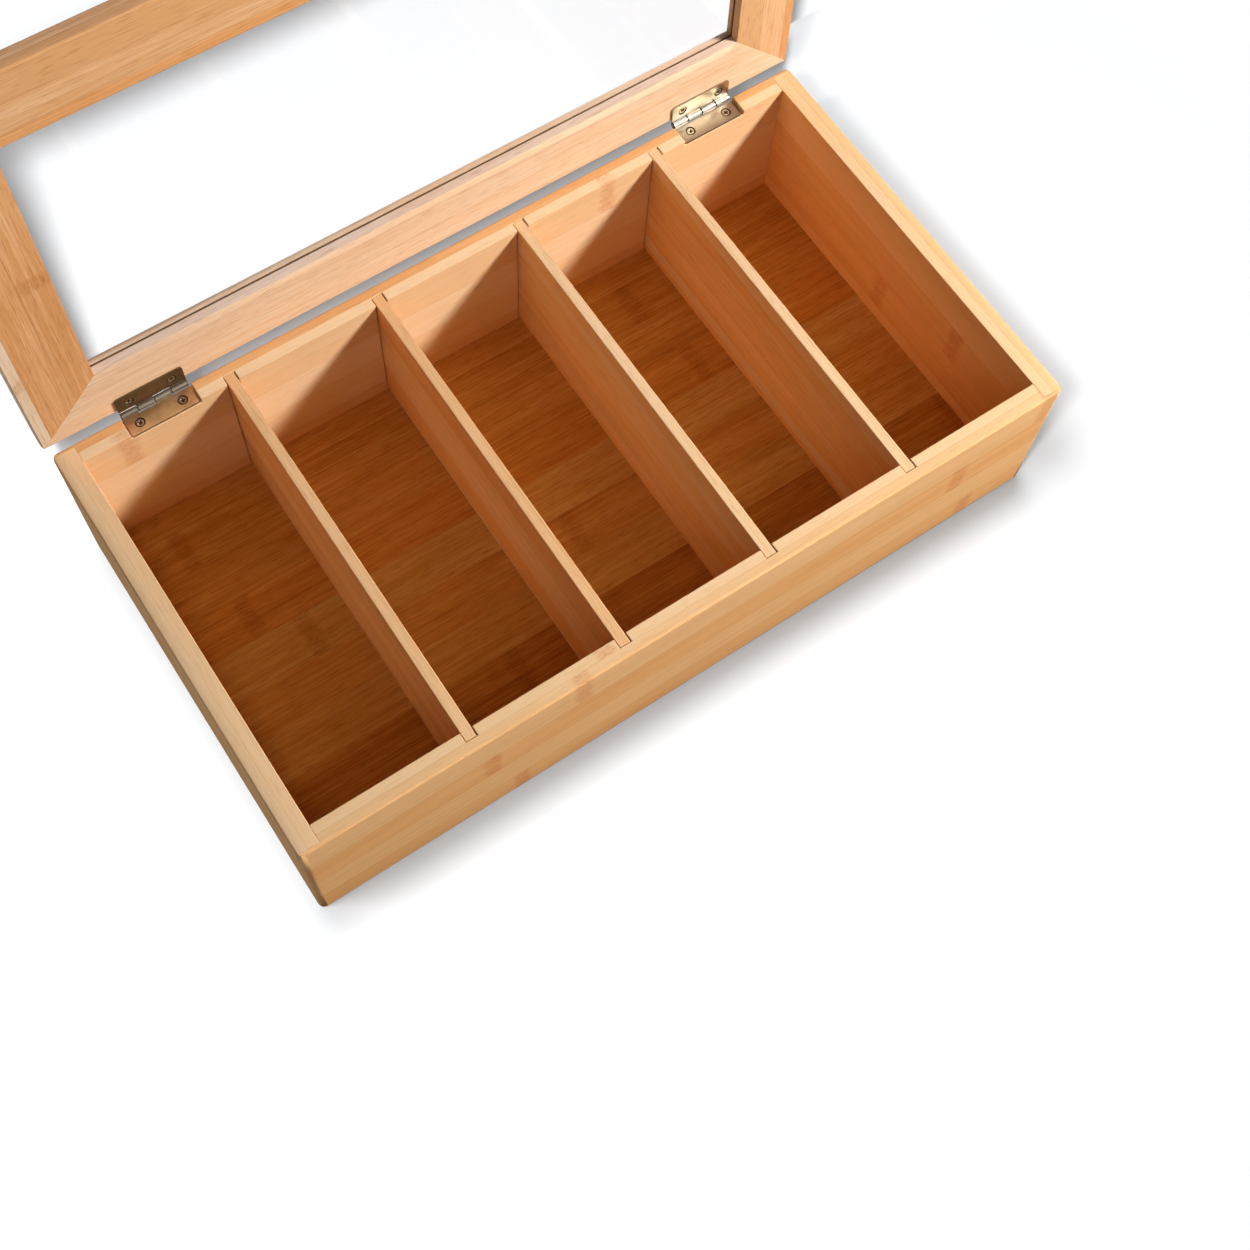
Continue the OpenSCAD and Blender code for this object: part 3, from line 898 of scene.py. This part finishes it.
def make_fittings():
    """Hinges, screws and pane."""
    group = plating_group()
    # One plating in several copies. The left lid leaf and the left knuckles are darkened, and the right lid
    # leaf paled, to stand for the darker and brighter surroundings they reflect: painted reflection. The two
    # box leaves differ for the same reason. The olive and rose stains within each copy are the plating's own.
    gilt = plated(
        "hinge_gilt", group,
        gold=srgb(230, 200, 159), olive=srgb(177, 166, 115), rose=srgb(223, 162, 132), roughness=0.34,
    )
    pale = plated(
        "hinge_leaf_painted_pale", group,
        gold=srgb(196, 188, 172), olive=srgb(168, 160, 134), rose=srgb(186, 160, 140), roughness=0.32,
    )
    fawn = plated(
        "hinge_fawn", group,
        gold=srgb(160, 150, 134), olive=srgb(137, 130, 108), rose=srgb(151, 129, 113), roughness=0.34,
    )
    leaf_painted_dark = plated(
        "hinge_leaf_painted_dark", group,
        gold=srgb(134, 118, 86), olive=srgb(104, 98, 64), rose=srgb(142, 100, 74), roughness=0.4,
    )
    knuckles_painted_dark = plated(
        "hinge_knuckles_painted_dark", group,
        gold=srgb(162, 156, 140), olive=srgb(132, 128, 110), rose=srgb(146, 132, 116), roughness=0.38,
    )
    barrel = plated(
        "hinge_barrel", group,
        gold=srgb(184, 178, 166), olive=srgb(146, 142, 128), rose=srgb(170, 154, 140), roughness=0.4,
    )
    steel = plated(
        "screw_plate", group,
        gold=srgb(198, 172, 138), olive=srgb(160, 138, 102), rose=srgb(190, 140, 116), roughness=0.34,
    )
    # Painted shade: near black for the knuckles' ends, the countersinks and the screws' rims, cones and
    # recesses
    grime = dark_finish("recess_painted_shade", (0.03, 0.02, 0.013, 1), 0.6)
    # Painted shade of the frame's groove, along the pane's rim
    painted_groove_shade = dark_finish("pane_painted_groove_shade", (0.09, 0.045, 0.022, 1), 0.7)
    flat = lid_laid_flat()
    for side in ("left", "right"):
        left = side == "left"
        # Each side's plates and knuckles take their own copy of the plating, lighter or darker as painted
        # reflection
        box_plate, lid_plate, knuckles = (gilt, leaf_painted_dark, knuckles_painted_dark) if left else (fawn, pale, barrel)
        make_leaf(f"{side}_hinge_box_leaf", [box_plate, knuckles, grime], UNTURNED)
        make_leaf(f"{side}_hinge_lid_leaf", [lid_plate, knuckles, grime], flat)
        # A pin has no piece of its own: its solid takes the steel
        pin = NODES[f"{side}_hinge_pin"].data
        pin.materials.clear()
        pin.materials.append(steel)
    box_leaves = ["left_hinge_box_leaf", "right_hinge_box_leaf"]
    lid_leaves = ["left_hinge_lid_leaf", "right_hinge_lid_leaf"]
    # Each screw's rim, cone and recess take the painted shade in grime
    make_screws("box_hinge_screws", box_leaves, [steel, grime], UNTURNED, True)
    make_screws("lid_hinge_screws", lid_leaves, [steel, grime], flat, False)
    make_pane(clear_pane(), painted_groove_shade)


# ---------------------------------------------------------------- studio

# The camera sees the floor white, and what it throws back on the box is much less
FLOOR_SEEN = (0.343, 0.35, 0.358)
FLOOR_PLAIN = 0.1
FLOOR_REACH = 12
FLOOR_DROP = 0.2 * MM
# Where along Y the floor in front ends and the one behind begins; the band between shows below the lid
FLOOR_SPLITS = (0.118, 0.165)
# The floor's shadows fade out between these distances from the box's middle
SHADOW_NEAR = 0.30
SHADOW_FAR = 0.44
AMBIENT = 0.022
# What is seen of the world darkens to CEILING_SEEN between these two parts of straight up
CEILING_SEEN = 0.35
CEILING_START = 0.3
CEILING_FULL = 0.75
# Where the softboxes point
LAMP_AIM = (0, 0, 0.05)
KEY_PLACE = (0.80, -0.58, 0.84)
KEY_SIZE = 0.2
KEY_POWER = 24
FILL_PLACE = (-0.75, -0.70, 0.75)
FILL_SIZE = 0.6
FILL_POWER = 1.12
# What a white table throws back low from the left
BOUNCE_PLACE = (-0.75, 0.05, 0.03)
BOUNCE_SIZE = 0.1
BOUNCE_POWER = 0.6
# A low lamp behind, for the rear wall
BACK_PLACE = (-0.15, 1.15, 0.08)
BACK_SIZE = 0.3
BACK_POWER = 6
# From the camera to the floor's own lamps beside it
LEFT_OF_CAMERA = Vector((-0.07, 0.03, 0.0))
NEXT_TO_CAMERA = Vector((-0.015, 0.015, 0.0))


def seen_directly(tree):
    """1 for what the camera sees, also through glass or in a reflection."""
    path = tree.nodes.new("ShaderNodeLightPath").outputs
    seen = maths(tree, "MAXIMUM", path["Is Camera Ray"], path["Is Glossy Ray"])
    return maths(tree, "MAXIMUM", seen, path["Is Transmission Ray"])


def floor_white():
    """A pale floor finish that takes soft shadows near the box and turns plain white further out."""
    material = bpy.data.materials.new("floor_white")
    material.use_nodes = True
    tree = material.node_tree
    tree.nodes.remove(tree.nodes["Principled BSDF"])
    distance = node(tree, "VectorMath", node(tree, "TexCoord", out=3), operation="LENGTH", out=1)
    far = ramp_up(tree, distance, SHADOW_NEAR, SHADOW_FAR)
    shadowed = node(tree, "BsdfDiffuse", (*FLOOR_SEEN, 1))
    seen = node(tree, "MixShader", far, shadowed, node(tree, "Emission", (1, 1, 1, 1), 1.0))
    plain = node(tree, "BsdfDiffuse", (FLOOR_PLAIN, FLOOR_PLAIN, FLOOR_PLAIN, 1))
    made = node(tree, "MixShader", seen_directly(tree), plain, seen)
    tree.links.new(made, tree.nodes["Material Output"].inputs[0])
    return material


def make_floor(name, material, start, end):
    """The floor's part between two places along Y."""
    mesh = bpy.data.meshes.new(name)
    corners = [(-FLOOR_REACH, start), (FLOOR_REACH, start), (FLOOR_REACH, end), (-FLOOR_REACH, end)]
    mesh.from_pydata([(x, y, -FLOOR_DROP) for x, y in corners], [], [(0, 1, 2, 3)])
    mesh.materials.append(material)
    floor = bpy.data.objects.new(name, mesh)
    bpy.context.scene.collection.objects.link(floor)
    return floor


def make_world():
    """Weak even light from all round. What is seen of it is white, with a darker ceiling for the metal."""
    world = bpy.data.worlds.new("studio")
    world.use_nodes = True
    tree = world.node_tree
    upward = node(tree, "SeparateXYZ", node(tree, "TexCoord", out=0), out=2)
    ceiling = ramp_up(tree, upward, CEILING_START, CEILING_FULL)
    seen = node(tree, "MapRange", ceiling, 0.0, 1.0, 1.0, CEILING_SEEN)
    backdrop = tree.nodes["Background"]
    backdrop.inputs["Color"].default_value = (1, 1, 1, 1)
    strength = node(tree, "MapRange", seen_directly(tree), 0.0, 1.0, AMBIENT, seen)
    feed(tree, backdrop.inputs["Strength"], strength)
    bpy.context.scene.world = world


def collection_of(name, objects, state="INCLUDE"):
    """A collection for light linking, whose objects are all included or all left out. A part of the floor as
    the only blocker means no shadows, since it is flat."""
    collection = bpy.data.collections.new(name)
    for o in objects:
        collection.objects.link(o)
    for link in collection.collection_objects:
        link.light_linking.link_state = state
    return collection


def add_lamp(name, data, place, target, lit, blockers=None):
    """Places a lamp that faces a target. Collections say what it lights and, if given, what shades it."""
    lamp = bpy.data.objects.new(name, data)
    turn = (Vector(target) - Vector(place)).to_track_quat("-Z", "Y")
    lamp.matrix_world = Matrix.Translation(place) @ turn.to_matrix().to_4x4()
    bpy.context.scene.collection.objects.link(lamp)
    lamp.light_linking.receiver_collection = lit
    lamp.light_linking.blocker_collection = blockers


def make_softbox(name, place, size, power, lit):
    """A square lamp."""
    data = bpy.data.lights.new(name, "AREA")
    data.size = size
    data.energy = power
    add_lamp(name, data, place, LAMP_AIM, lit)


def make_floor_sun(name, slope, lit, blockers, width, level):
    """Far light for the floor. Slope is how far it moves along X and Y for each metre down, and level is how
    bright it makes the floor."""
    data = bpy.data.lights.new(name, "SUN")
    data.angle = width
    down = Vector((slope[0], slope[1], -1))
    data.energy = level * math.pi / FLOOR_SEEN[0] * down.length
    add_lamp(name, data, (0, 0, 0), down, lit, blockers)


def make_floor_lamp(name, place, lit, blockers=None, *, radius, level):
    """A round lamp for the floor, as bright far out as beneath it."""
    data = bpy.data.lights.new(name, "POINT")
    data.shadow_soft_size = radius
    data.energy = level * 4 * math.pi * math.pi / FLOOR_SEEN[0]
    data.use_nodes = True
    tree = data.node_tree
    feed(tree, tree.nodes["Emission"].inputs["Strength"], node(tree, "LightFalloff", 1.0, out=2))
    add_lamp(name, data, place, (0, 0, 0), lit, blockers)


def light_front_floor(floor):
    """A lamp near the camera hides most of its shadow behind the box. Slanting light lays a soft shadow along
    the front wall and the right one, and a weak low one widens it at the right corner."""
    lit = collection_of("front_floor", [floor])
    walls = [bpy.data.objects[f"{side}_wall_board"] for side in ("front", "right", "rear", "left")]
    box = collection_of("box_walls", walls)
    make_floor_lamp("front_view", CAMERA_PLACE + LEFT_OF_CAMERA, lit, radius=0.045, level=0.36)
    make_floor_sun("front_from_rear", (-0.03, -0.16), lit, box, width=0.22, level=0.34)
    make_floor_sun("front_from_left", (0.42, -0.14), lit, box, width=0.28, level=0.30)
    make_floor_sun("front_low", (0.66, 0.0), lit, box, width=0.22, level=0.08)


def light_middle_floor(floor):
    """The band between the rear wall and the open lid. Only the rear wall shades a lamp over the front, and
    even light that nothing shades keeps the band from going dark."""
    lit = collection_of("middle_floor", [floor])
    rear_wall = collection_of("rear_wall_alone", [bpy.data.objects["rear_wall_board"]])
    itself = collection_of("middle_itself", [floor])
    make_floor_lamp("middle_view", CAMERA_PLACE + LEFT_OF_CAMERA, lit, radius=0.04, level=0.38)
    make_floor_lamp("middle_over_front", (-0.23, -0.34, 0.62), lit, rear_wall, radius=0.02, level=0.86)
    make_floor_sun("middle_even", (0.0, 0.0), lit, itself, width=0.1, level=0.22)


def light_rear_floor(floor):
    """Behind the lid, a lamp at the camera's left shades the floor along the frame's inner edges."""
    lit = collection_of("rear_floor", [floor])
    itself = collection_of("rear_itself", [floor])
    make_floor_lamp("rear_view", CAMERA_PLACE + NEXT_TO_CAMERA, lit, radius=0.022, level=0.95)
    make_floor_sun("rear_even", (0.0, 0.0), lit, itself, width=0.1, level=0.29)


def make_studio():
    """The key lamp stands to the right, in front and above. A weak large one and a low one stand to the left,
    and a low one behind. They leave the floor to lamps of its own, which drop soft shadows round the box."""
    make_world()
    material = floor_white()
    front = make_floor("floor_front", material, -FLOOR_REACH, FLOOR_SPLITS[0])
    middle = make_floor("floor_middle", material, *FLOOR_SPLITS)
    rear = make_floor("floor_rear", material, FLOOR_SPLITS[1], FLOOR_REACH)
    but_floor = collection_of("all_but_floor", [front, middle, rear], "EXCLUDE")
    make_softbox("key", KEY_PLACE, KEY_SIZE, KEY_POWER, but_floor)
    make_softbox("fill", FILL_PLACE, FILL_SIZE, FILL_POWER, but_floor)
    make_softbox("bounce", BOUNCE_PLACE, BOUNCE_SIZE, BOUNCE_POWER, but_floor)
    make_softbox("back", BACK_PLACE, BACK_SIZE, BACK_POWER, but_floor)
    light_front_floor(front)
    light_middle_floor(middle)
    light_rear_floor(rear)


# ---------------------------------------------------------------- the whole scene


def main():
    """Builds the camera, the finishes, the box and its studio."""
    make_camera()
    group = bamboo_group()
    walls = bamboo(
        "wall_bamboo", group, 20.3 * MM, 4.5 * MM, gloss=0.0,
        light=srgb(240, 194, 146), middle=srgb(232, 178, 122), dark=srgb(212, 148, 88),
        edge_tint=(1.0, 1.1, 1.25, 1), knot=(0.84, 0.62, 0.54, 1),
        strip_contrast=0.22, streaks=0.55, fibres=0.6, flecks=0.2,
    )
    floor = bamboo(
        "floor_bamboo", group, 20.6 * MM, 10 * MM,
        light=srgb(231, 178, 109), middle=srgb(212, 152, 78), dark=srgb(176, 113, 46),
        knot=(0.72, 0.62, 0.52, 1),
        strip_contrast=0.2, streaks=0.9, fibres=1.2, flecks=0.65,
    )
    dividers = bamboo(
        "divider_bamboo", group, 8.0 * MM, 10 * MM,
        light=srgb(240, 195, 142), middle=srgb(231, 177, 121), dark=srgb(211, 146, 90),
        edge_tint=(0.98, 1.08, 1.28, 1), knot=(0.80, 0.62, 0.52, 1),
        strip_contrast=0.16, streaks=0.7, fibres=0.8, flecks=0.35,
    )
    lid = bamboo(
        "lid_bamboo", group, 12.5 * MM, 4.2 * MM, gloss=0.06,
        light=srgb(242, 210, 176), middle=srgb(238, 192, 148), dark=srgb(216, 158, 104),
        edge_tint=(1.0, 1.03, 1.2, 1), knot=(0.80, 0.60, 0.48, 1),
        strip_contrast=0.3, streaks=0.95, fibres=0.9, flecks=0.45,
    )
    make_walls(walls)
    make_inside(floor, dividers)
    make_lid(lid)
    make_fittings()
    make_studio()
    bpy.context.scene.view_settings.view_transform = "Standard"


main()
